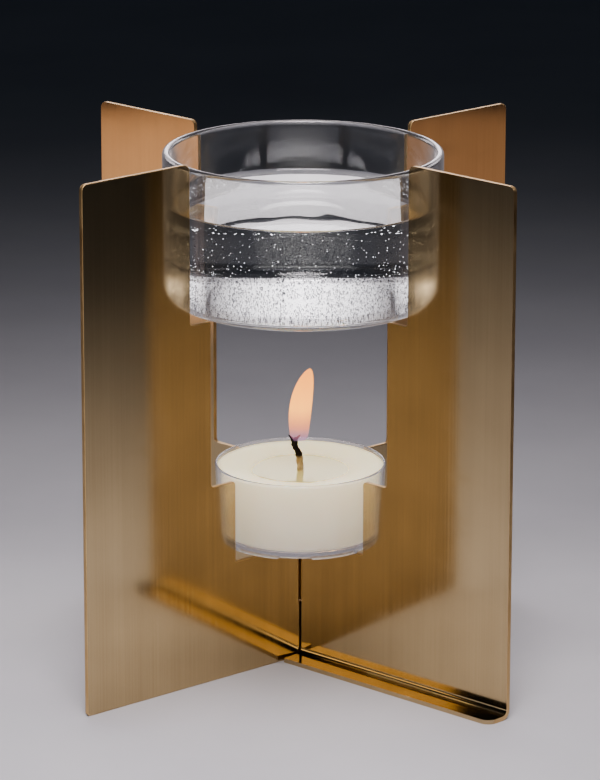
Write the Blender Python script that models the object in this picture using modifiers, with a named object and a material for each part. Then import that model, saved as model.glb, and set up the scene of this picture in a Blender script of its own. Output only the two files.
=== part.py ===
"""Tealight warmer: two slotted brass sheets that hold a glass bowl of water over a tealight.

Metres, +Z up. The origin is where the two sheets cross, on the surface that they stand on, and the
open front is towards -Y. Run with: blender --background --python part.py
"""

import math

import bmesh
import bpy
from mathutils import Matrix, Vector

MM = 0.001

# Driving dimensions, in metres.
SHEET = 1.0 * MM  # thickness of both brass sheets
FIN_ANGLE = math.radians(42.0)  # each sheet's angle from the X axis
FIN_REACH = 62.0 * MM  # from the crossing to a sheet's outer edge
SHEET_HEIGHT = 119.4 * MM
BOWL_NOTCH = 32.3 * MM  # half-width of the notch that takes the bowl
BOWL_LEDGE = 83.3 * MM  # height of the ledges under the bowl
WINDOW = 26.5 * MM  # half-width of the flame window
TAB_TOP = 45.3 * MM
POCKET = 19.5 * MM  # half-width of the pocket that takes the tealight
POCKET_FLOOR_A = 26.6 * MM  # sheet A's floor lies lower, so the tealight stands on sheet B's
POCKET_FLOOR_B = 28.2 * MM
CORNER = 1.4 * MM  # radius of the sheets' outer top corners
SMALL_CORNER = 0.8 * MM
BEND_RADIUS = 1.2 * MM  # inside radius of the bent foot
FOOT_REACH = 6.3 * MM  # from sheet B's middle plane to its foot's edge
FOOT_CORNER = 2.5 * MM

GAP = 0.3 * MM  # clearance wherever two pieces meet
LAP_HEIGHT = POCKET_FLOOR_A / 2  # where the two halving slots meet
SLOT = 1.75 * MM  # a slot's width: the other sheet, crossing 6 degrees off square, and its clearance

BOWL_RADIUS = 31.1 * MM
BOWL_HEIGHT = 34.1 * MM
BOWL_WALL = 1.9 * MM
BOWL_FLOOR = 1.9 * MM
BOWL_CORNER = 4.5 * MM  # outside radius between the bowl's wall and floor
BOWL_BASE = BOWL_LEDGE + GAP
BOWL_SHIFT = 0.5 * MM  # the bowl is loose in its notches, and stands this far to the right
WATER_DEPTH = 20.2 * MM

CUP_TOP_RADIUS = 19.2 * MM
CUP_FOOT_RADIUS = 18.4 * MM
CUP_HEIGHT = 17.5 * MM
CUP_WALL = 0.6 * MM
CUP_FLOOR = 0.9 * MM
CUP_BASE = POCKET_FLOOR_B + GAP
FOOT_RING = 0.5 * MM  # height of the toothed ring under the cup
FOOT_RING_WIDTH = 2.4 * MM
FOOT_NOTCH = 7.7 * MM  # width of the gaps between its teeth
FOOT_NOTCH_PAIRS = 3
NOTCH_SHORT = 0.02 * MM
FIRST_NOTCH_ANGLE = math.radians(87.0)

WAX_CRATER = 11.5 * MM  # radius of the melted pool
WAX_POOL_DROP = 1.6 * MM  # pool surface below the cup's rim
WAX_EDGE_DROP = 0.6 * MM  # wax edge below the cup's rim
WAX_SWELL = 0.2 * MM  # how far the set wax bulges between the pool and its edge
WICK_RADIUS = 0.75 * MM
WICK_BENDS = [(-0.3 * MM, 2.8 * MM), (-1.2 * MM, 5.0 * MM), (-1.3 * MM, 7.8 * MM)]  # (x, height over the pool)
SUSTAINER_RADIUS = 6.5 * MM
SUSTAINER_SHEET = 0.4 * MM
SUSTAINER_NECK = 4.0 * MM

STEPS_ROUND = 72
ARC_STEP = math.radians(15.0)
SHARP_ANGLE = math.radians(30.0)

PARTS_NAME = "tealight_warmer"
CUTTERS_NAME = "cutters"


def clear_scene():
    for obj in list(bpy.data.objects):
        bpy.data.objects.remove(obj, do_unlink=True)


def new_collection(name):
    collection = bpy.data.collections.new(name)
    bpy.context.scene.collection.children.link(collection)
    return collection


def new_material(name, color, roughness, metallic=0.0, transmission=0.0):
    material = bpy.data.materials.new(name)
    material.use_nodes = True
    shader = material.node_tree.nodes["Principled BSDF"]
    shader.inputs["Base Color"].default_value = (*color, 1.0)
    shader.inputs["Roughness"].default_value = roughness
    shader.inputs["Metallic"].default_value = metallic
    shader.inputs["Transmission Weight"].default_value = transmission
    material.diffuse_color = (*color, 1.0)
    return material


def arc(center, radius, start, end):
    """Points along an arc, its two ends among them."""
    steps = max(2, round(abs(end - start) / ARC_STEP))
    angles = [start + (end - start) * i / steps for i in range(steps + 1)]
    return [(center[0] + radius * math.cos(a), center[1] + radius * math.sin(a)) for a in angles]


def rounded(corners):
    """A closed outline from (x, y, radius) corners, each with a radius turned into an arc."""
    points = []
    for i, (x, y, radius) in enumerate(corners):
        here = Vector((x, y))
        if radius == 0:
            points.append((x, y))
            continue
        back = (Vector(corners[i - 1][:2]) - here).normalized()
        ahead = (Vector(corners[(i + 1) % len(corners)][:2]) - here).normalized()
        half = back.angle(ahead) / 2
        center = here + (back + ahead).normalized() * (radius / math.sin(half))
        first = here + back * (radius / math.tan(half)) - center
        last = here + ahead * (radius / math.tan(half)) - center
        start = math.atan2(first.y, first.x)
        sweep = math.remainder(math.atan2(last.y, last.x) - start, math.tau)
        points += arc(center, radius, start, start + sweep)
    return points


def extruded(name, outline, half_depth, matrix, collection):
    """A mesh object: the 2D outline made into a filled curve, extruded both ways and welded."""
    curve = bpy.data.curves.new(name, "CURVE")
    curve.dimensions = "2D"
    curve.fill_mode = "BOTH"
    curve.extrude = half_depth
    spline = curve.splines.new("POLY")
    spline.points.add(len(outline) - 1)
    for point, (x, y) in zip(spline.points, outline):
        point.co = (x, y, 0.0, 1.0)
    spline.use_cyclic_u = True
    guide = bpy.data.objects.new(name + "_outline", curve)
    collection.objects.link(guide)
    guide.matrix_world = matrix
    bpy.context.view_layer.update()
    evaluated = guide.evaluated_get(bpy.context.evaluated_depsgraph_get())
    mesh = bpy.data.meshes.new_from_object(evaluated)
    mesh.name = name
    weld(mesh)
    obj = bpy.data.objects.new(name, mesh)
    collection.objects.link(obj)
    obj.matrix_world = guide.matrix_world
    bpy.data.objects.remove(guide, do_unlink=True)
    return obj


def weld(mesh):
    """Joins a curve's loose caps to its sides, turns every face outwards and shades it smooth."""
    form = bmesh.new()
    form.from_mesh(mesh)
    bmesh.ops.remove_doubles(form, verts=form.verts, dist=1e-6)
    bmesh.ops.recalc_face_normals(form, faces=form.faces)
    form.to_mesh(mesh)
    form.free()
    mesh.shade_smooth()
    mesh.set_sharp_from_angle(angle=SHARP_ANGLE)


def as_cutter(obj):
    obj.hide_render = True
    obj.display_type = "WIRE"
    return obj


def boolean(obj, operation, cutter):
    modifier = obj.modifiers.new(f"{operation.lower()}_{cutter.name}", "BOOLEAN")
    modifier.operation = operation
    modifier.solver = "EXACT"
    modifier.object = cutter


def turned(name, profile, collection, steps=STEPS_ROUND, base=0.0, shift=0.0):
    """A solid of revolution: (radius, height) points that end by running down the outer side."""
    mesh = bpy.data.meshes.new(name)
    vertices = [(radius, 0.0, height) for radius, height in profile]
    mesh.from_pydata(vertices, [(i, i + 1) for i in range(len(vertices) - 1)], [])
    obj = bpy.data.objects.new(name, mesh)
    obj.location = (shift, 0.0, base)
    collection.objects.link(obj)
    screw = obj.modifiers.new("turn", "SCREW")
    screw.steps = steps
    screw.render_steps = steps
    screw.use_merge_vertices = True
    screw.merge_threshold = 1e-6
    screw.use_smooth_shade = True
    return obj


def stand_up(direction):
    """The matrix that stands an XY outline up, with X along direction and Y along world Z."""
    along = Vector((math.cos(direction), math.sin(direction), 0.0))
    up = Vector((0.0, 0.0, 1.0))
    return Matrix((along, up, along.cross(up))).transposed().to_4x4()


def fin_sides(pocket_floor):
    """The corners of a sheet's front outline up its right side, and down its left side."""
    right_side = [
        (FIN_REACH, SHEET_HEIGHT, CORNER),
        (BOWL_NOTCH, SHEET_HEIGHT, CORNER),
        (BOWL_NOTCH, BOWL_LEDGE, SMALL_CORNER),
        (WINDOW, BOWL_LEDGE, SMALL_CORNER / 2),
        (WINDOW, TAB_TOP, SMALL_CORNER),
        (POCKET, TAB_TOP, SMALL_CORNER),
        (POCKET, pocket_floor, SMALL_CORNER / 2),
    ]
    left_side = [(-x, z, radius) for x, z, radius in reversed(right_side)]
    return right_side, left_side


def make_plate_a(collection):
    """The flat sheet. Its slot opens upwards, in the pocket's floor."""
    bottom = [(-FIN_REACH, 0.0, SMALL_CORNER), (FIN_REACH, 0.0, SMALL_CORNER)]
    right_side, left_side = fin_sides(POCKET_FLOOR_A)
    slot_floor = LAP_HEIGHT - GAP / 2
    slot = [
        (SLOT / 2, POCKET_FLOOR_A, 0.0),
        (SLOT / 2, slot_floor, 0.0),
        (-SLOT / 2, slot_floor, 0.0),
        (-SLOT / 2, POCKET_FLOOR_A, 0.0),
    ]
    outline = rounded(bottom + right_side + slot + left_side)
    return extruded("plate_a", outline, SHEET / 2, stand_up(FIN_ANGLE), collection)


def make_plate_b(collection, cutters):
    """The sheet with its bottom edge bent into a foot. Its slot opens downwards, through the foot."""
    outer = BEND_RADIUS + SHEET
    half = SHEET / 2
    above = SHEET_HEIGHT + SHEET
    section = rounded(
        [
            (-half, 0.0, outer),
            (FOOT_REACH, 0.0, 0.0),
            (FOOT_REACH, SHEET, 0.0),
            (half, SHEET, BEND_RADIUS),
            (half, above, 0.0),
            (-half, above, 0.0),
        ]
    )
    # The foot points to the front left, which is a quarter turn clockwise of the sheet's own run.
    across = -FIN_ANGLE - math.radians(90.0)
    plate = extruded("plate_b", section, FIN_REACH + SHEET, stand_up(across), collection)

    slot_top = LAP_HEIGHT + GAP / 2
    bottom = [
        (-FIN_REACH, -SHEET, 0.0),
        (-SLOT / 2, -SHEET, 0.0),
        (-SLOT / 2, slot_top, 0.0),
        (SLOT / 2, slot_top, 0.0),
        (SLOT / 2, -SHEET, 0.0),
        (FIN_REACH, -SHEET, 0.0),
    ]
    right_side, left_side = fin_sides(POCKET_FLOOR_B)
    front = rounded(bottom + right_side + left_side)
    depth = FOOT_REACH + SHEET
    front_cutter = extruded("front_form", front, depth, stand_up(-FIN_ANGLE), cutters)
    boolean(plate, "INTERSECT", as_cutter(front_cutter))

    for name, side in (("foot_corner_left", -1), ("foot_corner_right", 1)):
        boolean(plate, "DIFFERENCE", foot_corner_cutter(name, side, cutters))
    # Through the foot the slot follows sheet A, so that the same gap runs along its face.
    size = (4 * FOOT_REACH, SHEET + 2 * GAP, 2 * outer)
    foot_slot = cutter_box("foot_slot", size, cutters)
    foot_slot.rotation_euler.z = FIN_ANGLE
    boolean(plate, "DIFFERENCE", foot_slot)
    return plate


def foot_corner_cutter(name, side, collection):
    """What is left of a square corner outside its round: it rounds one end of the foot's edge."""
    beyond = SHEET
    center = (FIN_REACH - FOOT_CORNER, FOOT_CORNER - FOOT_REACH)
    outline = arc(center, FOOT_CORNER, 0.0, -math.radians(90.0))
    outline += [
        (FIN_REACH - FOOT_CORNER, -FOOT_REACH - beyond),
        (FIN_REACH + beyond, -FOOT_REACH - beyond),
        (FIN_REACH + beyond, FOOT_CORNER - FOOT_REACH),
    ]
    outline = [(side * x, y) for x, y in outline]
    turn = Matrix.Rotation(-FIN_ANGLE, 4, "Z")
    return as_cutter(extruded(name, outline, 2 * SHEET, turn, collection))


def make_bowl(collection):
    rim = BOWL_WALL / 2
    inner = BOWL_RADIUS - BOWL_WALL
    corner = BOWL_CORNER - BOWL_WALL
    quarter = math.radians(90.0)
    profile = [(0.0, BOWL_FLOOR)]
    profile += arc((inner - corner, BOWL_FLOOR + corner), corner, -quarter, 0.0)
    profile += arc((BOWL_RADIUS - rim, BOWL_HEIGHT - rim), rim, 2 * quarter, 0.0)
    profile += arc((BOWL_RADIUS - BOWL_CORNER, BOWL_CORNER), BOWL_CORNER, 0.0, -quarter)
    profile += [(0.0, 0.0)]
    return turned("glass_bowl", profile, collection, base=BOWL_BASE, shift=BOWL_SHIFT)


def make_water(collection):
    radius = BOWL_RADIUS - BOWL_WALL - GAP
    base = BOWL_FLOOR + GAP
    profile = [(0.0, base + WATER_DEPTH), (radius, base + WATER_DEPTH)]
    corner = BOWL_CORNER - BOWL_WALL - GAP
    profile += arc((radius - corner, base + corner), corner, 0.0, -math.radians(90.0))
    profile += [(0.0, base)]
    return turned("water", profile, collection, base=BOWL_BASE, shift=BOWL_SHIFT)


def cup_radius(height):
    """The cup's outer radius at a height above its foot."""
    return CUP_FOOT_RADIUS + (CUP_TOP_RADIUS - CUP_FOOT_RADIUS) * height / CUP_HEIGHT


def make_cup(collection, cutters):
    """The clear tealight cup, slightly tapered, on a ring of teeth."""
    floor = FOOT_RING + CUP_FLOOR
    ring_inner = CUP_FOOT_RADIUS - FOOT_RING_WIDTH
    rim = CUP_WALL / 2
    rim_center = (CUP_TOP_RADIUS - rim, CUP_HEIGHT - rim)
    profile = [
        (0.0, floor),
        (cup_radius(floor) - CUP_WALL - SMALL_CORNER, floor),
        (cup_radius(floor + SMALL_CORNER) - CUP_WALL, floor + SMALL_CORNER),
    ]
    profile += arc(rim_center, rim, math.radians(180.0), 0.0)
    profile += [
        (cup_radius(SMALL_CORNER / 2), SMALL_CORNER / 2),
        (CUP_FOOT_RADIUS - SMALL_CORNER / 2, 0.0),
        (ring_inner, 0.0),
        (ring_inner, FOOT_RING),
        (0.0, FOOT_RING),
    ]
    cup = turned("tealight_cup", profile, collection, base=CUP_BASE)
    for i in range(FOOT_NOTCH_PAIRS):
        length = 3 * CUP_TOP_RADIUS
        bar = cutter_box(f"foot_notch_{i + 1}", (length, FOOT_NOTCH, 2 * FOOT_RING), cutters)
        # The bar stops just short of the floor's underside, so that no two faces lie together.
        bar.location.z = CUP_BASE - NOTCH_SHORT
        bar.rotation_euler.z = FIRST_NOTCH_ANGLE + math.pi * i / FOOT_NOTCH_PAIRS
        boolean(cup, "DIFFERENCE", bar)
    return cup


def cutter_box(name, size, collection):
    mesh = bpy.data.meshes.new(name)
    form = bmesh.new()
    bmesh.ops.create_cube(form, size=1.0)
    bmesh.ops.scale(form, vec=size, verts=form.verts)
    form.to_mesh(mesh)
    form.free()
    obj = bpy.data.objects.new(name, mesh)
    collection.objects.link(obj)
    return as_cutter(obj)


def make_wax(collection):
    """The wax, with a shallow melted pool, a bore for the wick and a recess for its sustainer."""
    floor = FOOT_RING + CUP_FLOOR + GAP
    edge = CUP_HEIGHT - WAX_EDGE_DROP
    pool = CUP_HEIGHT - WAX_POOL_DROP
    wall = CUP_WALL + GAP
    bore = WICK_RADIUS + GAP
    neck = bore + SUSTAINER_SHEET + GAP
    disc_top = floor + SUSTAINER_SHEET + GAP
    neck_top = floor + SUSTAINER_NECK + GAP
    profile = [
        (SUSTAINER_RADIUS + GAP, floor),
        (SUSTAINER_RADIUS + GAP, disc_top),
        (neck, disc_top),
        (neck, neck_top),
        (bore, neck_top),
        (bore, pool),
        (WAX_CRATER, pool),
        ((WAX_CRATER + CUP_TOP_RADIUS) / 2, (pool + edge) / 2 + WAX_SWELL),
        (cup_radius(edge) - wall, edge),
        (cup_radius(floor + SMALL_CORNER) - wall, floor + SMALL_CORNER),
        (cup_radius(floor) - wall - SMALL_CORNER, floor),
        (SUSTAINER_RADIUS + GAP, floor),
    ]
    return turned("wax", profile, collection, base=CUP_BASE)


def make_sustainer(collection):
    """The sheet-metal foot that holds the wick upright: a disc with a neck, bored through."""
    base = FOOT_RING + CUP_FLOOR + GAP
    bore = WICK_RADIUS + GAP
    profile = [
        (bore, base),
        (bore, base + SUSTAINER_NECK),
        (bore + SUSTAINER_SHEET, base + SUSTAINER_NECK),
        (bore + SUSTAINER_SHEET, base + SUSTAINER_SHEET),
        (SUSTAINER_RADIUS, base + SUSTAINER_SHEET),
        (SUSTAINER_RADIUS, base),
        (bore, base),
    ]
    return turned("wick_sustainer", profile, collection, steps=STEPS_ROUND // 2, base=CUP_BASE)


def make_wick(collection):
    """The wick: straight in the wax, and bent over to the left where it is charred."""
    foot = CUP_BASE + FOOT_RING + CUP_FLOOR + 2 * GAP
    pool = CUP_BASE + CUP_HEIGHT - WAX_POOL_DROP
    route = [Vector((0.0, 0.0, foot)), Vector((0.0, 0.0, pool))]
    route += [Vector((x, 0.0, pool + height)) for x, height in WICK_BENDS]
    curve = bpy.data.curves.new("wick", "CURVE")
    curve.dimensions = "3D"
    curve.bevel_depth = WICK_RADIUS
    curve.bevel_resolution = 2
    curve.use_fill_caps = True
    curve.resolution_u = 4
    spline = curve.splines.new("BEZIER")
    spline.bezier_points.add(len(route) - 1)
    for point, place in zip(spline.bezier_points, route):
        point.co = place
        point.handle_left_type = "AUTO"
        point.handle_right_type = "AUTO"
    # The length in the bore stays straight.
    for point in spline.bezier_points[:2]:
        point.handle_left_type = "VECTOR"
        point.handle_right_type = "VECTOR"
    obj = bpy.data.objects.new("wick", curve)
    collection.objects.link(obj)
    return obj


def main():
    clear_scene()
    parts = new_collection(PARTS_NAME)
    cutters = new_collection(CUTTERS_NAME)
    brass = (0.60, 0.42, 0.20)
    made = [
        (make_plate_a(parts), new_material("plate_a_brass", brass, 0.32, metallic=1.0)),
        (make_plate_b(parts, cutters), new_material("plate_b_brass", brass, 0.32, metallic=1.0)),
        (make_bowl(parts), new_material("bowl_glass", (0.95, 0.97, 0.97), 0.02, transmission=1.0)),
        (make_water(parts), new_material("water_clear", (0.90, 0.95, 0.97), 0.0, transmission=1.0)),
        (make_cup(parts, cutters), new_material("cup_clear", (0.93, 0.92, 0.93), 0.08, transmission=0.9)),
        (make_wax(parts), new_material("wax_cream", (0.93, 0.89, 0.80), 0.45)),
        (make_sustainer(parts), new_material("sustainer_tin", (0.72, 0.72, 0.70), 0.35, metallic=1.0)),
        (make_wick(parts), new_material("wick_cotton", (0.10, 0.09, 0.08), 0.9)),
    ]
    for obj, material in made:
        obj.data.materials.clear()
        obj.data.materials.append(material)


main()
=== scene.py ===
"""The looks of the tealight warmer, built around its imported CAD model. Metres, +Z up, -Y the open front."""

import math
import random

import bmesh
import bpy
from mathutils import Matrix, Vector, noise


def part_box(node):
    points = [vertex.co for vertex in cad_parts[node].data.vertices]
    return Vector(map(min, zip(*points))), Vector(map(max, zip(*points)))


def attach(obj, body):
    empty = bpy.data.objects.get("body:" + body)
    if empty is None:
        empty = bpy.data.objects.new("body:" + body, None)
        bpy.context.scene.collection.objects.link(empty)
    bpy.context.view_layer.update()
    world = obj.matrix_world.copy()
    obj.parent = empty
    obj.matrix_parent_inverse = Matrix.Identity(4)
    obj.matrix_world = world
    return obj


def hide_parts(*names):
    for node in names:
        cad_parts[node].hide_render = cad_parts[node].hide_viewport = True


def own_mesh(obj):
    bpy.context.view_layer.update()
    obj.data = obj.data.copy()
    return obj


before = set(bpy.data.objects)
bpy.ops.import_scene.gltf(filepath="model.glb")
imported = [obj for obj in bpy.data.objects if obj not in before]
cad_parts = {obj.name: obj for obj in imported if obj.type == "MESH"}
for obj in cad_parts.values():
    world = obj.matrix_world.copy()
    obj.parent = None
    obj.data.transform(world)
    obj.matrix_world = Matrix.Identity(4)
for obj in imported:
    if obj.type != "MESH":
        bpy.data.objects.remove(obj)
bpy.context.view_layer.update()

MM = 0.001
FIN_ANGLE = math.radians(42.0)  # each sheet's angle from the X axis
QUARTER = math.pi / 2
STEPS_ROUND = 160
CUP_STEPS = 360  # the cup has more, for the sides of its teeth
ARC_STEP = math.radians(9.0)
SHARP_ANGLE = math.radians(40.0)
ON_AXIS = 1e-7  # a profile's point this close to the axis is one point, not a ring

# The sheets. A face gets the sides' finish or the cut edges' by which way it points.
BROKEN_EDGE = 0.14 * MM
FACES_ACROSS = 0.3  # the least cosine for a face to count as pointing that way
UNDERSIDE = 2.0 * MM
FOOT_TOP = 2.5 * MM

# The bowl and its water
BOWL_WALL = 1.9 * MM
BOWL_CORNER = 4.5 * MM
WATER_OVERLAP = 0.06 * MM
WATER_CLIMB = 0.7 * MM
CLIMB_WIDTH = 2.4 * MM
CLIMB_STEPS = 8
WAVE_HEIGHT = 0.12 * MM

# The bubbles: how many, and where those that crowd low on the wall begin and end above the floor
FLOOR_BUBBLES = 3000
LOW_BUBBLES = 1300
HIGH_BUBBLES = 950
CROWD_START = 2.7 * MM
CROWD_END = 9.5 * MM

# The cup and its foot ring
CUP_TAPER = 0.8 * MM
CUP_WALL = 0.6 * MM
CUP_FLOOR = 1.4 * MM
CUP_FILLET = 0.8 * MM
RING_HEIGHT = 0.5 * MM
RING_WIDTH = 2.4 * MM
TEETH = 6
FIRST_GAP = math.radians(87.0)
HALF_GAP = 3.85 * MM
TOOTH_SIDE = 0.25 * MM

# The wax, from the cup's rim down
WAX_GAP = 0.05 * MM
WAX_EDGE_DROP = 0.6 * MM
POOL_DROP = 1.6 * MM
CRATER_DEPTH = 1.6 * MM
CRATER_RADIUS = 11.0 * MM

# The wick and the flame, whose heights are above the melted pool
STRANDS = 3
STRAND_RADIUS = 0.46 * MM
STRAND_OFFSET = 0.34 * MM
FRAYED_RADIUS = 0.36 * MM
STRAND_SIDES = 8
WICK_TURNS = 2.6
ROUTE_STEPS = 14
FLAME_FOOT = 6.2 * MM
FLAME_TIP = 23.3 * MM
FLAME_WIDTH = 2.95 * MM
FLAME_LEVELS = 40
FLAME_SIDES = 28


# --- Node helpers -----------------------------------------------------------------------------------


class Shader:
    """A material's node tree, with short ways to add the nodes that the materials below share."""

    def __init__(self, name):
        self.material = bpy.data.materials.new(name)
        self.material.use_nodes = True
        self.tree = self.material.node_tree
        self.tree.nodes.clear()
        self.output = self.tree.nodes.new("ShaderNodeOutputMaterial")
        self.coords = self.tree.nodes.new("ShaderNodeTexCoord").outputs["Object"]

    def add(self, kind, inputs=None, **settings):
        """A new node. inputs holds a value or a link for each socket, by its name or its number."""
        node = self.tree.nodes.new(kind)
        for key, value in settings.items():
            setattr(node, key, value)
        for key, value in (inputs or {}).items():
            self.set(node.inputs[key], value)
        return node

    def set(self, socket, value):
        if isinstance(value, bpy.types.NodeSocket):
            self.tree.links.new(value, socket)
        else:
            socket.default_value = value

    def surface(self, shader):
        self.tree.links.new(shader.outputs[0], self.output.inputs["Surface"])
        return self.material

    def noise(self, scale, detail, stretch=(1.0, 1.0, 1.0), turn=0.0):
        """Noise from 0 to 1, on coordinates turned about Z and stretched along each axis."""
        place = self.add("ShaderNodeMapping", {"Vector": self.coords, "Scale": stretch})
        place.vector_type = "TEXTURE"
        place.inputs["Rotation"].default_value = (0.0, 0.0, turn)
        inputs = {"Vector": place.outputs[0], "Scale": scale, "Detail": detail}
        return self.add("ShaderNodeTexNoise", inputs).outputs["Fac"]

    def remap(self, value, low, high, to_low, to_high):
        inputs = {"Value": value, 1: low, 2: high, 3: to_low, 4: to_high}
        return self.add("ShaderNodeMapRange", inputs).outputs[0]

    def ramp(self, value, stops):
        """Colours along a value: stops are (position, rgb)."""
        node = self.add("ShaderNodeValToRGB", {"Fac": value})
        elements = node.color_ramp.elements
        while len(elements) < len(stops):
            elements.new(0.5)
        for element, (position, color) in zip(elements, stops):
            element.position = position
            element.color = (*color, 1.0)
        return node.outputs["Color"]

    def mix(self, factor, base, rgb):
        """A colour that goes from base to rgb by the factor."""
        node = self.add("ShaderNodeMix", data_type="RGBA")
        self.set(node.inputs[0], factor)
        self.set(node.inputs[6], base)
        self.set(node.inputs[7], (*rgb, 1.0))
        return node.outputs[2]

    def math(self, operation, a, b):
        return self.add("ShaderNodeMath", {0: a, 1: b}, operation=operation).outputs[0]

    def bump(self, height, strength, distance):
        inputs = {"Height": height, "Strength": strength, "Distance": distance}
        return self.add("ShaderNodeBump", inputs).outputs[0]

    def height(self):
        return self.add("ShaderNodeSeparateXYZ", {"Vector": self.coords}).outputs["Z"]


# --- Materials --------------------------------------------------------------------------------------


def brass_face(name, turn):
    """Satin brass: upright brush lines, cloudy tarnish, faint wiping marks."""
    s = Shader(name)
    lines = s.noise(1.0, 3.0, stretch=(0.00035, 0.00035, 0.05), turn=turn)
    broad = s.noise(1.0, 2.0, stretch=(0.005, 0.005, 0.10), turn=turn)
    clouds = s.noise(45.0, 4.0)
    wipes = s.noise(1.0, 2.0, stretch=(0.02, 0.02, 0.006), turn=turn)
    color = s.ramp(clouds, [(0.30, (0.50, 0.385, 0.225)), (0.72, (0.60, 0.468, 0.275))])
    color = s.mix(s.remap(broad, 0.35, 0.7, 0.0, 0.35), color, (0.45, 0.345, 0.20))
    color = s.mix(s.remap(lines, 0.3, 0.75, 0.0, 0.22), color, (0.73, 0.585, 0.36))
    rough = s.remap(lines, 0.3, 0.7, 0.075, 0.115)
    rough = s.math("ADD", rough, s.remap(clouds, 0.3, 0.7, -0.01, 0.02))
    rough = s.math("ADD", rough, s.remap(wipes, 0.55, 0.8, 0.0, 0.04))
    upright = s.add("ShaderNodeCombineXYZ", {"Z": 1.0}).outputs[0]
    shader = s.add(
        "ShaderNodeBsdfPrincipled",
        {
            "Base Color": color,
            "Metallic": 1.0,
            "Roughness": rough,
            "Anisotropic": 0.30,
            "Tangent": upright,
            "Normal": s.bump(lines, 0.05, 0.00002),
        },
    )
    return s.surface(shader)


def brass_edge(name):
    """The cut edges: rubbed metal, duller than the faces, with fine draw lines."""
    s = Shader(name)
    lines = s.noise(2600.0, 2.0)
    wear = s.noise(160.0, 3.0)
    color = s.ramp(wear, [(0.30, (0.58, 0.39, 0.19)), (0.70, (0.72, 0.52, 0.28))])
    shader = s.add(
        "ShaderNodeBsdfPrincipled",
        {
            "Base Color": color,
            "Metallic": 1.0,
            "Roughness": s.remap(wear, 0.3, 0.7, 0.36, 0.52),
            "Normal": s.bump(lines, 0.15, 0.00002),
        },
    )
    return s.surface(shader)


def glass():
    """Clear glass. A weak glow at its outline stands in for the light that thick glass gathers."""
    s = Shader("bowl_glass_clear")
    waves = s.noise(70.0, 2.0)
    outline = s.math("POWER", s.add("ShaderNodeLayerWeight", {"Blend": 0.5}).outputs["Facing"], 3.0)
    shader = s.add(
        "ShaderNodeBsdfPrincipled",
        {
            "Base Color": (0.975, 0.98, 0.98, 1.0),
            "Roughness": 0.0,
            "IOR": 1.50,
            "Transmission Weight": 1.0,
            "Emission Color": (1.0, 0.92, 0.97, 1.0),
            "Emission Strength": s.math("MULTIPLY", outline, 0.22),
            "Normal": s.bump(waves, 0.05, 0.0004),
        },
    )
    return s.surface(shader)


def water_clear():
    s = Shader("water_clear")
    ripples = s.noise(60.0, 1.0)
    shader = s.add(
        "ShaderNodeBsdfPrincipled",
        {
            "Base Color": (0.985, 0.995, 1.0, 1.0),
            "Roughness": 0.0,
            "IOR": 1.33,
            "Transmission Weight": 1.0,
            "Normal": s.bump(ripples, 0.04, 0.0003),
        },
    )
    return s.surface(shader)


def bubble_air_painted_dark():
    """Air within water: the index is that of air over that of water, so each bubble mirrors at its edge. Its
    grey tint is painted shade that makes the bubbles look dark.
    """
    s = Shader("bubble_air_painted_dark")
    film = s.noise(3000.0, 1.0)
    inputs = {
        # The grey tint is painted shade: it darkens the clear air bubbles so they show dark.
        "Color": (0.42, 0.43, 0.47, 1.0),
        "Roughness": s.remap(film, 0.3, 0.7, 0.0, 0.08),
        "IOR": 0.75,
    }
    return s.surface(s.add("ShaderNodeBsdfGlass", inputs))


def bubble_glint():
    """The bubbles high on the wall. Their glow stands in for the lamps' glints, light on dark."""
    s = Shader("bubble_glint")
    shade = s.noise(1500.0, 1.0)
    strength = s.remap(shade, 0.35, 0.65, 1.0, 5.0)
    glow = s.add("ShaderNodeEmission", {"Color": (0.95, 0.95, 1.0, 1.0), "Strength": strength})
    film = s.add("ShaderNodeBsdfGlass", {"Roughness": 0.02, "IOR": 0.75})
    return s.surface(s.add("ShaderNodeMixShader", {0: 0.6, 1: film.outputs[0], 2: glow.outputs[0]}))


def cup_plastic():
    s = Shader("cup_plastic_clear")
    haze = s.noise(300.0, 4.0)
    shader = s.add(
        "ShaderNodeBsdfPrincipled",
        {
            "Base Color": (0.93, 0.915, 0.94, 1.0),
            "Roughness": s.remap(haze, 0.3, 0.7, 0.04, 0.16),
            "IOR": 1.49,
            "Transmission Weight": 0.90,
            # The faint cool emission is painted light: the clear cup glows though it is no lamp.
            "Emission Color": (0.90, 0.86, 1.0, 1.0),
            "Emission Strength": 0.03,
            "Normal": s.bump(haze, 0.04, 0.0001),
        },
    )
    return s.surface(shader)


def wax_cream(foot, top):
    """Soft wax. Its glow, stronger towards its top, stands in for the flame's light within it."""
    s = Shader("wax_cream")
    grain = s.noise(900.0, 4.0)
    clouds = s.noise(120.0, 3.0)
    shader = s.add(
        "ShaderNodeBsdfPrincipled",
        {
            "Base Color": s.ramp(clouds, [(0.3, (0.88, 0.81, 0.62)), (0.7, (0.94, 0.88, 0.72))]),
            "Roughness": s.remap(grain, 0.3, 0.7, 0.35, 0.6),
            "Subsurface Weight": 0.8,
            "Subsurface Radius": (1.0, 0.75, 0.5),
            "Subsurface Scale": 0.004,
            "Emission Color": (1.0, 0.87, 0.50, 1.0),
            "Emission Strength": s.remap(s.height(), foot, top, 0.22, 0.70),
            "Normal": s.bump(grain, 0.25, 0.00006),
        },
    )
    return s.surface(shader)


def melted_wax():
    s = Shader("wax_melted")
    ripples = s.noise(220.0, 1.0)
    shader = s.add(
        "ShaderNodeBsdfPrincipled",
        {
            "Base Color": (0.70, 0.66, 0.36, 1.0),
            "Roughness": 0.05,
            "IOR": 1.20,
            "Transmission Weight": 0.55,
            # The faint warm emission is painted light: the melted wax glows though it is no lamp.
            "Emission Color": (1.0, 0.90, 0.55, 1.0),
            "Emission Strength": 0.03,
            "Normal": s.bump(ripples, 0.12, 0.0004),
        },
    )
    return s.surface(shader)


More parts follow.
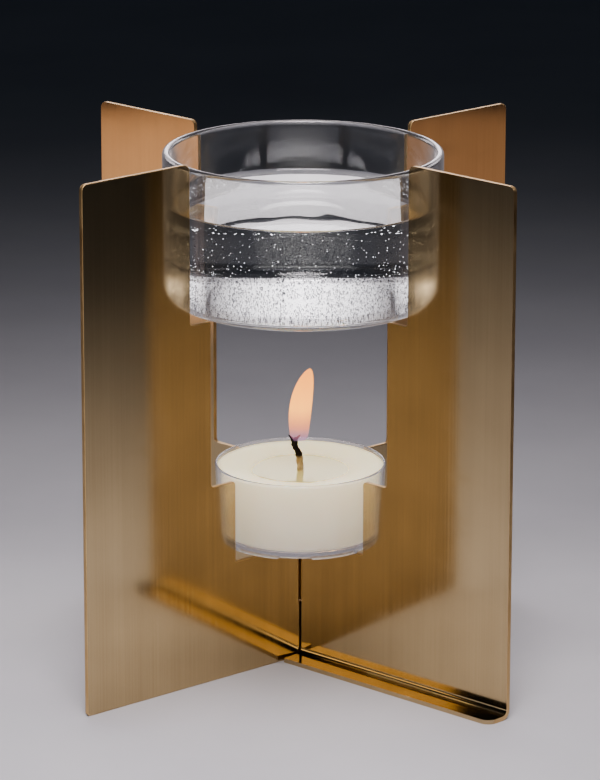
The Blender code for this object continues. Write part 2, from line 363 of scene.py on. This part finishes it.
def wick_cotton(pool_height):
    """Cream cotton at the foot, charred black above, with the braid's strands in the mesh."""
    s = Shader("wick_cotton")
    fibres = s.noise(2500.0, 3.0)
    above = s.math("SUBTRACT", s.height(), pool_height)
    ragged = s.math("ADD", above, s.remap(fibres, 0.0, 1.0, -0.0006, 0.0006))
    color = s.ramp(
        s.remap(ragged, 0.0, 0.008, 0.0, 1.0),
        [
            (0.0, (0.78, 0.62, 0.40)),
            (0.30, (0.62, 0.44, 0.24)),
            (0.40, (0.03, 0.02, 0.015)),
            (1.0, (0.012, 0.010, 0.010)),
        ],
    )
    shader = s.add(
        "ShaderNodeBsdfPrincipled",
        {"Base Color": color, "Roughness": 0.9, "Normal": s.bump(fibres, 0.6, 0.0001)},
    )
    return s.surface(shader)


def tin():
    s = Shader("sustainer_tin")
    grain = s.noise(1500.0, 3.0)
    shader = s.add(
        "ShaderNodeBsdfPrincipled",
        {
            "Base Color": (0.66, 0.66, 0.64, 1.0),
            "Metallic": 1.0,
            "Roughness": s.remap(grain, 0.3, 0.7, 0.25, 0.4),
            "Normal": s.bump(grain, 0.1, 0.00003),
        },
    )
    return s.surface(shader)


def flame_glow(base, tip):
    """Glowing gas: violet and nearly clear round the wick, peach above, thin at its tip."""
    s = Shader("flame_glow")
    along = s.remap(s.height(), base, tip, 0.0, 1.0)
    color = s.ramp(
        along,
        [
            (0.0, (0.20, 0.12, 0.30)),
            (0.20, (0.75, 0.26, 0.12)),
            (0.45, (1.0, 0.43, 0.10)),
            (1.0, (1.0, 0.36, 0.07)),
        ],
    )
    flow = s.noise(1.0, 2.0, stretch=(0.004, 0.004, 0.012))
    stops = [(0.0, (0.25,) * 3), (0.25, (0.45,) * 3), (0.5, (0.8,) * 3), (1.0, (0.55,) * 3)]
    density = s.ramp(along, stops)
    density = s.math("MULTIPLY", density, s.remap(flow, 0.3, 0.7, 0.85, 1.15))
    clear = s.add("ShaderNodeBsdfTransparent")
    glow = s.add("ShaderNodeEmission", {"Color": color, "Strength": 2.3})
    inputs = {0: s.math("MINIMUM", density, 0.95), 1: clear.outputs[0], 2: glow.outputs[0]}
    return s.surface(s.add("ShaderNodeMixShader", inputs))


def plain_floor():
    s = Shader("studio_floor")
    grain = s.noise(14.0, 5.0)
    color = s.ramp(grain, [(0.3, (0.50, 0.50, 0.53)), (0.7, (0.56, 0.56, 0.585))])
    shader = s.add(
        "ShaderNodeBsdfPrincipled",
        {
            "Base Color": color,
            "Roughness": 0.8,
            "Specular IOR Level": 0.1,
            "Normal": s.bump(grain, 0.05, 0.001),
        },
    )
    return s.surface(shader)


# --- Mesh helpers -----------------------------------------------------------------------------------


def mesh_object(name, form, material, smooth=True):
    mesh = bpy.data.meshes.new(name)
    form.to_mesh(mesh)
    form.free()
    obj = bpy.data.objects.new(name, mesh)
    bpy.context.scene.collection.objects.link(obj)
    mesh.materials.append(material)
    if smooth:
        mesh.shade_smooth()
        mesh.set_sharp_from_angle(angle=SHARP_ANGLE)
    return obj


def arc(center, radius, start, end):
    steps = max(2, round(abs(end - start) / ARC_STEP))
    angles = [start + (end - start) * i / steps for i in range(steps + 1)]
    return [(center[0] + radius * math.cos(a), center[1] + radius * math.sin(a)) for a in angles]


def close_rings(form, rings):
    """Faces between each ring of points and the next. A ring of one point closes an end."""
    steps = max(len(ring) for ring in rings)
    for low, high in zip(rings, rings[1:]):
        for i in range(steps):
            j = (i + 1) % steps
            corners = [low[i % len(low)], low[j % len(low)], high[j % len(high)], high[i % len(high)]]
            form.faces.new(list(dict.fromkeys(corners)))


def turned(name, profile, material, steps=STEPS_ROUND, shape=None, center=0.0):
    """A turned solid: the profile runs from axis to axis. shape moves each point of the made mesh."""
    form = bmesh.new()
    rings = []
    for radius, z in profile:
        if radius < ON_AXIS:
            rings.append([form.verts.new((center, 0.0, z))])
            continue
        angles = [math.tau * i / steps for i in range(steps)]
        ring = [(center + radius * math.cos(a), radius * math.sin(a), z) for a in angles]
        rings.append([form.verts.new(point) for point in ring])
    close_rings(form, rings)
    if shape:
        for vertex in form.verts:
            vertex.co = shape(vertex.co)
    bmesh.ops.recalc_face_normals(form, faces=form.faces)
    return mesh_object(name, form, material)


# --- Pieces -----------------------------------------------------------------------------------------


def sheet_piece(node, turn):
    """A brass sheet: the CAD solid with its cut edges broken, and the edges in their own finish."""
    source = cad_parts[node]
    form = bmesh.new()
    form.from_mesh(source.data)
    bmesh.ops.remove_doubles(form, verts=form.verts, dist=2e-6)
    bmesh.ops.dissolve_limit(form, angle_limit=math.radians(0.6), verts=form.verts, edges=form.edges)
    obj = mesh_object(f"{node}_sheet", form, brass_face(f"{node}_brass", turn), smooth=False)
    obj.data.materials.append(brass_edge(f"{node}_cut_edge"))
    bevel = obj.modifiers.new("broken_edges", "BEVEL")
    bevel.width = BROKEN_EDGE
    bevel.segments = 2
    bevel.limit_method = "ANGLE"
    bevel.angle_limit = math.radians(50.0)
    bevel.material = 1
    obj.data.shade_smooth()
    obj.data.set_sharp_from_angle(angle=math.radians(28.0))
    # A wall of the cut outline points along the sheet. The sheet's two sides point across it, and
    # the foot's top points up. What faces the floor isn't seen, and keeps the sides' finish.
    across = Vector((-math.sin(turn), math.cos(turn), 0.0))
    for face in obj.data.polygons:
        side = abs(face.normal.dot(across)) > FACES_ACROSS
        underside = face.normal.z < -FACES_ACROSS and face.center.z < UNDERSIDE
        foot = node == "plate_b" and face.center.z < FOOT_TOP and abs(face.normal.z) > FACES_ACROSS
        face.material_index = 0 if side or underside or foot else 1
    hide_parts(node)
    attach(obj, {"plate_a": "sheet_a", "plate_b": "sheet_b"}[node])


def bowl_dimensions():
    low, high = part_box("glass_bowl")
    return {
        "center": (low.x + high.x) / 2,
        "radius": (high.x - low.x) / 2,
        "inner": (high.x - low.x) / 2 - BOWL_WALL,
        "base": low.z,
        "floor": low.z + BOWL_WALL,
        "top": high.z,
    }


def make_bowl():
    """The glass has the same thickness all over, and its rim is round."""
    d = bowl_dimensions()
    radius, inner = d["radius"], d["inner"]
    base, floor, top = d["base"], d["floor"], d["top"]
    rim = BOWL_WALL / 2
    corner = BOWL_CORNER - BOWL_WALL
    profile = [(0.0, floor)]
    profile += [(inner * share, floor) for share in (0.3, 0.6, 0.8)]
    profile += arc((inner - corner, floor + corner), corner, -QUARTER, 0.0)
    profile += [(inner, floor + (top - floor) * share) for share in (0.3, 0.6, 0.9)]
    profile += arc((radius - rim, top - rim), rim, 2 * QUARTER, 0.0)
    profile += [(radius, base + (top - base) * share) for share in (0.7, 0.4)]
    profile += arc((radius - BOWL_CORNER, base + BOWL_CORNER), BOWL_CORNER, 0.0, -QUARTER)
    profile += [(radius * share, base) for share in (0.6, 0.3)]
    profile += [(0.0, base)]
    bowl = turned("bowl", profile, glass(), center=d["center"])
    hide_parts("glass_bowl")
    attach(bowl, "bowl")


def make_water():
    """The water meets the glass: its sides lie just within the wall, and it climbs at its edge."""
    d = bowl_dimensions()
    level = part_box("water")[1].z
    inner = d["inner"] + WATER_OVERLAP
    floor = d["floor"] - WATER_OVERLAP
    corner = BOWL_CORNER - BOWL_WALL + WATER_OVERLAP
    profile = [(0.0, level)]
    profile += [(inner * share, level) for share in (0.15, 0.3, 0.45, 0.6, 0.75, 0.85)]
    for step in range(CLIMB_STEPS + 1):
        share = step / CLIMB_STEPS
        profile.append((inner - CLIMB_WIDTH * (1 - share), level + WATER_CLIMB * share ** 4))
    profile += [(inner, floor + corner + (level - floor - corner) * share) for share in (0.9, 0.6, 0.3)]
    profile += arc((inner - corner, floor + corner), corner, 0.0, -QUARTER)
    profile += [(inner * 0.5, floor), (0.0, floor)]

    def rippled(point):
        """Low waves on the surface, fading out towards the glass."""
        if point.z < level - 0.1 * MM:
            return point
        across = Vector((point.x - d["center"], point.y, 0.0))
        fade = max(0.0, 1.0 - across.length / (inner - CLIMB_WIDTH))
        wave = noise.noise(across * 70.0) + 0.5 * noise.noise(across * 160.0)
        return point + Vector((0.0, 0.0, WAVE_HEIGHT * wave * fade ** 0.5))

    water = turned("water_body", profile, water_clear(), shape=rippled, center=d["center"])
    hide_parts("water")
    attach(water, "bowl")


def ball():
    """The corners and faces of a unit ball, coarse because a bubble is small."""
    form = bmesh.new()
    bmesh.ops.create_icosphere(form, subdivisions=1, radius=1.0)
    corners = [vertex.co.copy() for vertex in form.verts]
    faces = [[vertex.index for vertex in face.verts] for face in form.faces]
    form.free()
    return corners, faces


def bubble_piece(name, places, material):
    """Balls of air in the water. places holds each one's distance from the axis, angle, height and size."""
    center_x = bowl_dimensions()["center"]
    corners, faces = ball()
    points = []
    polygons = []
    for radius, angle, height, size in places:
        center = Vector((center_x + radius * math.cos(angle), radius * math.sin(angle), height))
        polygons += [[len(points) + index for index in face] for face in faces]
        points += [center + size * corner for corner in corners]
    mesh = bpy.data.meshes.new(name)
    mesh.from_pydata(points, [], polygons)
    mesh.materials.append(material)
    mesh.shade_smooth()
    bubbles = bpy.data.objects.new(name, mesh)
    bpy.context.scene.collection.objects.link(bubbles)
    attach(bubbles, "bowl")


def make_bubbles():
    """Fine air bubbles: crowded on the floor and low on the wall, fewer and fewer towards the surface."""
    d = bowl_dimensions()
    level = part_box("water")[1].z
    inner, floor = d["inner"], d["floor"]
    crowded = floor + CROWD_END
    rng = random.Random(11)
    low = []
    high = []
    for _ in range(FLOOR_BUBBLES):
        size = rng.uniform(0.06, 0.13) * MM
        radius = (inner - 2.8 * MM) * math.sqrt(rng.uniform(0.01, 1.0))
        low.append((radius, rng.uniform(0.0, math.tau), floor + 1.1 * size, size))
    for _ in range(LOW_BUBBLES):
        size = rng.uniform(0.05, 0.11) * MM
        height = floor + CROWD_START + (crowded - floor - CROWD_START) * rng.random()
        low.append((inner - 1.2 * size, rng.uniform(0.0, math.tau), height, size))
    for _ in range(HIGH_BUBBLES):
        size = rng.uniform(0.06, 0.12) * MM
        height = crowded + (level - crowded - 1.0 * MM) * rng.random() ** 2.1
        high.append((inner - 1.2 * size, rng.uniform(0.0, math.tau), height, size))
    bubble_piece("bubbles_low", low, bubble_air_painted_dark())
    bubble_piece("bubbles_high", high, bubble_glint())


def cup_dimensions():
    low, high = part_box("tealight_cup")
    return {
        "radius": high.x,
        "foot_radius": high.x - CUP_TAPER,
        "base": low.z,
        "floor": low.z + CUP_FLOOR,
        "top": high.z,
    }


def cup_radius(d, z):
    """The outside radius of the tapered cup at a height."""
    share = (z - d["base"]) / (d["top"] - d["base"])
    return d["foot_radius"] + (d["radius"] - d["foot_radius"]) * share


def make_cup():
    """The clear cup. Its foot ring is cut into six teeth by moving the ring's gaps up."""
    d = cup_dimensions()
    base, floor, foot = d["base"], d["floor"], d["foot_radius"]
    rim = CUP_WALL / 2
    under = base + RING_HEIGHT
    ring_inner = foot - RING_WIDTH
    shoulder = base + 1.2 * MM
    profile = [(0.0, floor), (0.5 * ring_inner, floor)]
    fillet_top = floor + CUP_FILLET
    corner = (cup_radius(d, fillet_top) - CUP_WALL - CUP_FILLET, fillet_top)
    profile += arc(corner, CUP_FILLET, -QUARTER, 0.0)
    profile += arc((d["radius"] - rim, d["top"] - rim), rim, math.pi, 0.0)
    profile += [(cup_radius(d, shoulder), shoulder), (cup_radius(d, under), under + 0.1 * MM)]
    profile += [(foot - 0.1 * MM, base + 0.1 * MM), (foot - 0.3 * MM, base)]
    profile += [(ring_inner + 0.2 * MM, base), (ring_inner, base + 0.15 * MM)]
    profile += [(ring_inner - 0.05 * MM, under), (0.5 * ring_inner, under), (0.0, under)]
    half_gap = HALF_GAP / foot

    def cut_teeth(point):
        if point.z > under - 0.05 * MM or point.xy.length < ring_inner - 0.02 * MM:
            return point
        angle = math.atan2(point.y, point.x) - FIRST_GAP
        beside = abs(math.remainder(angle, math.tau / TEETH))
        lift = min(1.0, max(0.0, (half_gap - beside) / (TOOTH_SIDE / foot) + 0.5))
        return Vector((point.x, point.y, point.z + (under - 0.06 * MM - point.z) * lift))

    cup = turned("cup", profile, cup_plastic(), steps=CUP_STEPS, shape=cut_teeth)
    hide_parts("tealight_cup")
    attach(cup, "tealight")


def pool_height():
    """The height of the melted pool, which the wick and the flame are placed from."""
    return cup_dimensions()["top"] - POOL_DROP


def make_wax():
    """Set wax with a crater melted into it. Its rim is uneven, as cooled wax is."""
    d = cup_dimensions()
    floor = d["floor"] + WAX_GAP
    edge = d["top"] - WAX_EDGE_DROP
    pool = pool_height()
    bottom = pool - CRATER_DEPTH
    crater = CRATER_RADIUS

    def side(z):
        return cup_radius(d, z) - CUP_WALL - WAX_GAP

    profile = [(0.0, bottom), (0.4 * crater, bottom)]
    for step in range(7):
        share = step / 6
        radius = crater * (0.80 + 0.20 * share)
        profile.append((radius, bottom + (pool - bottom) * share ** 1.6))
    for step in range(1, 9):
        share = step / 8
        radius = crater + (side(edge) - crater - 0.2 * MM) * share
        profile.append((radius, pool + (edge - pool) * math.sin(share * QUARTER)))
    profile += [(side(edge), edge - 0.2 * MM)]
    profile += [(side(floor + 1.0 * MM), floor + 1.0 * MM), (side(floor) - 1.0 * MM, floor), (0.0, floor)]

    def uneven(point):
        near_top = point.z > bottom + 0.3 * MM and point.xy.length < side(edge) - 0.1 * MM
        if not near_top:
            return point
        wave = noise.noise(Vector((point.x, point.y, 0.0)) * 160.0)
        fine = noise.noise(Vector((point.x, point.y, 0.005)) * 700.0)
        drop = min(0.0, 0.22 * MM * wave) + 0.05 * MM * fine - 0.05 * MM
        from_crater = min(1.0, abs(point.xy.length - crater) / (5 * MM))
        swell = 0.07 * noise.noise(Vector((point.x, point.y, 0.01)) * 90.0)
        spread = 1.0 + swell * (1.0 - from_crater)
        return Vector((point.x * spread, point.y * spread, point.z + drop))

    wax = turned("wax_body", profile, wax_cream(floor, edge), shape=uneven)
    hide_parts("wax")
    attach(wax, "tealight")


def make_melted_pool():
    """The melted wax that fills the crater, just below its brim."""
    level = pool_height()
    surface = level - 0.25 * MM
    bottom = level - CRATER_DEPTH
    sunk = bottom - 0.1 * MM
    profile = [(0.0, surface), (CRATER_RADIUS * 0.9, surface)]
    profile += [(CRATER_RADIUS * 1.04, level - 0.12 * MM), (CRATER_RADIUS * 0.9, bottom + 0.1 * MM)]
    profile += [(CRATER_RADIUS * 0.7, sunk), (0.0, sunk)]
    pool = turned("melted_pool", profile, melted_wax())
    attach(pool, "tealight")


def wick_route():
    """The wick's line: straight up from the wax, then bent to the left at its charred tip."""
    pool = pool_height()
    return [
        Vector((0.1 * MM, 0.0, pool - CRATER_DEPTH)),
        Vector((0.0, 0.0, pool)),
        Vector((-0.25 * MM, 0.0, pool + 2.6 * MM)),
        Vector((-0.55 * MM, 0.0, pool + 3.9 * MM)),
        Vector((-1.25 * MM, 0.0, pool + 5.2 * MM)),
        Vector((-1.35 * MM, 0.0, pool + 6.9 * MM)),
    ]


def smooth_route(points, steps):
    """A Catmull-Rom curve through the points."""
    ends = [2 * points[0] - points[1], *points, 2 * points[-1] - points[-2]]
    route = []
    for a, b, c, d in zip(ends, ends[1:], ends[2:], ends[3:]):
        second = 2 * a - 5 * b + 4 * c - d
        third = 3 * b - a - 3 * c + d
        for step in range(steps):
            t = step / steps
            route.append(0.5 * (2 * b + (c - a) * t + second * t ** 2 + third * t ** 3))
    return [*route, points[-1]]


def tube(form, route, radii):
    """A closed tube along the route, with a radius at each of its points."""
    rings = []
    for i, (point, radius) in enumerate(zip(route, radii)):
        ahead = (route[min(i + 1, len(route) - 1)] - route[max(i - 1, 0)]).normalized()
        u = ahead.cross(Vector((0.0, 1.0, 0.0))).normalized()
        v = ahead.cross(u)
        ring = []
        for side in range(STRAND_SIDES):
            angle = math.tau * side / STRAND_SIDES
            ring.append(form.verts.new(point + radius * (u * math.cos(angle) + v * math.sin(angle))))
        rings.append(ring)
    close_rings(form, rings)
    form.faces.new(list(reversed(rings[0])))
    form.faces.new(rings[-1])


def make_wick():
    """Three strands wound round each other. At the charred tip two of them part."""
    route = smooth_route(wick_route(), ROUTE_STEPS)
    form = bmesh.new()
    for strand in range(STRANDS):
        path = []
        radii = []
        for i, point in enumerate(route):
            along = i / (len(route) - 1)
            angle = math.tau * (strand / STRANDS + WICK_TURNS * along)
            spread = STRAND_OFFSET * (1.0 + 0.5 * max(0.0, along - 0.8) * 5)
            offset = Vector((math.cos(angle), math.sin(angle), 0.0)) * spread
            path.append(point + offset)
            charred = 0.82 if along > 0.55 else 1.0
            wobble = 1.0 + 0.12 * noise.noise(point * 3000.0 + Vector((strand, 0.0, 0.0)))
            radii.append(STRAND_RADIUS * charred * wobble)
        if strand < 2:
            lean = -1 if strand == 0 else 1
            for step in range(1, 5):
                share = step / 4
                path.append(path[-1] + Vector((lean * 0.22 * MM, 0.0, 0.24 * MM)))
                radii.append(FRAYED_RADIUS * (1.0 - 0.75 * share))
        tube(form, path, radii)
    bmesh.ops.recalc_face_normals(form, faces=form.faces)
    wick = mesh_object("wick_braid", form, wick_cotton(pool_height()))
    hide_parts("wick")
    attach(wick, "tealight")


def make_flame():
    """A closed leaf of glowing gas round the wick's tip, leaning a little to the right."""
    pool = pool_height()
    base = pool + FLAME_FOOT
    tip = pool + FLAME_TIP
    form = bmesh.new()
    rings = []
    for level in range(FLAME_LEVELS + 1):
        t = level / FLAME_LEVELS
        width = FLAME_WIDTH * (0.62 + 1.35 * t) * (1.0 - t) ** 0.62 * min(1.0, (t + 0.03) * 9.0) ** 0.4
        lean = Vector((-0.3 + 2.45 * t ** 2.6, 0.0, 0.0)) * MM
        center = lean + Vector((0.0, 0.0, base + (tip - base) * t))
        if level in (0, FLAME_LEVELS):
            rings.append([form.verts.new(center)])
            continue
        ring = []
        for side in range(FLAME_SIDES):
            angle = math.tau * side / FLAME_SIDES
            outward = Vector((width * math.cos(angle), 0.8 * width * math.sin(angle), 0.0))
            ring.append(form.verts.new(center + outward))
        rings.append(ring)
    close_rings(form, rings)
    bmesh.ops.recalc_face_normals(form, faces=form.faces)
    flame = mesh_object("flame", form, flame_glow(base, tip))
    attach(flame, "tealight")
    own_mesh(flame)


def finish_sustainer():
    """The tin disc under the wax keeps its CAD shape, and gets its metal."""
    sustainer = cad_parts["wick_sustainer"]
    sustainer.data.materials.clear()
    sustainer.data.materials.append(tin())


# --- Stage ------------------------------------------------------------------------------------------


def make_floor():
    """A plain pale floor, wide enough to fill the view."""
    form = bmesh.new()
    bmesh.ops.create_grid(form, x_segments=1, y_segments=1, size=6.0)
    floor = mesh_object("studio_floor", form, plain_floor(), smooth=False)


def area_light(name, place, target, size, power, color, spread):
    light = bpy.data.lights.new(name, "AREA")
    light.shape = "RECTANGLE"
    light.size, light.size_y = size
    light.energy = power
    light.color = color
    light.spread = math.radians(spread)
    obj = bpy.data.objects.new(name, light)
    obj.location = place
    obj.rotation_euler = (Vector(target) - Vector(place)).to_track_quat("-Z", "Y").to_euler()
    bpy.context.scene.collection.objects.link(obj)


def make_pools():
    """Soft lamps above, each lighting one part of the floor. Powers in watts, spreads in degrees."""
    height = 0.62
    size = (0.20, 0.20)
    tint = (1.0, 0.935, 0.955)
    pools = (
        ("front", (0.0, -0.34), 0.14, 0.35, 48.0),
        ("middle", (0.0, -0.06), -0.02, 0.125, 48.0),
        ("back", (0.0, 0.12), -0.02, 0.10, 48.0),
        ("left", (-0.27, -0.04), 0.0, 0.085, 42.0),
    )
    for name, (x, y), forward, power, spread in pools:
        target = (x, y + forward, 0.0)
        area_light(f"pool_{name}", (x, y, height), target, size, power, tint, spread)


def make_cards():
    """A weak card in front, three low boxes in an arc behind, and a small warm card on each side."""
    area_light("front_card", (0.0, -1.25, 0.42), (0.0, 0.0, 0.03), (1.0, 0.5), 0.45, (1.0, 0.95, 0.90), 60.0)
    away = 0.80
    tint = (1.0, 0.94, 0.97)
    for index, turn in enumerate((-42.0, 0.0, 42.0)):
        angle = math.radians(turn)
        place = (away * math.sin(angle), away * math.cos(angle), 0.36)
        area_light(f"back_box_{index}", place, (0.0, 0.0, 0.11), (0.60, 0.26), 0.115, tint, 46.0)
    warm = (1.0, 0.62, 0.46)
    for side, power in ((-1, 0.00040), (1, 0.00018)):
        place = (side * 0.30, 0.012, 0.03)
        area_light(f"side_card_{side + 2}", place, (0.0, 0.035, 0.11), (0.05, 0.06), power, warm, 40.0)


def make_world():
    """A faint cool light from all round, and the view's contrast."""
    world = bpy.data.worlds.new("studio")
    world.use_nodes = True
    background = world.node_tree.nodes["Background"]
    background.inputs["Color"].default_value = (0.16, 0.26, 0.42, 1.0)
    background.inputs["Strength"].default_value = 0.045
    bpy.context.scene.world = world
    bpy.context.scene.view_settings.look = "AgX - Medium High Contrast"


def make_camera():
    """A long lens, in front of the warmer and looking a little down on it."""
    camera = bpy.data.cameras.new("camera")
    camera.lens = 210.8
    camera.sensor_width = 36.0
    camera.shift_x = -0.0031
    obj = bpy.data.objects.new("camera", camera)
    yaw = math.radians(0.852)
    pitch = math.radians(16.003)
    roll = math.radians(-0.09)
    reach = 0.98194
    height = 0.34425
    obj.location = (reach * math.sin(yaw), -reach * math.cos(yaw), height)
    obj.rotation_euler = (QUARTER - pitch, roll, yaw)
    bpy.context.scene.collection.objects.link(obj)
    bpy.context.scene.camera = obj


def main():
    make_camera()
    make_world()
    make_pools()
    make_cards()
    make_floor()
    sheet_piece("plate_a", FIN_ANGLE)
    sheet_piece("plate_b", -FIN_ANGLE)
    make_bowl()
    make_water()
    make_bubbles()
    make_cup()
    make_wax()
    make_melted_pool()
    make_wick()
    make_flame()
    finish_sustainer()


main()
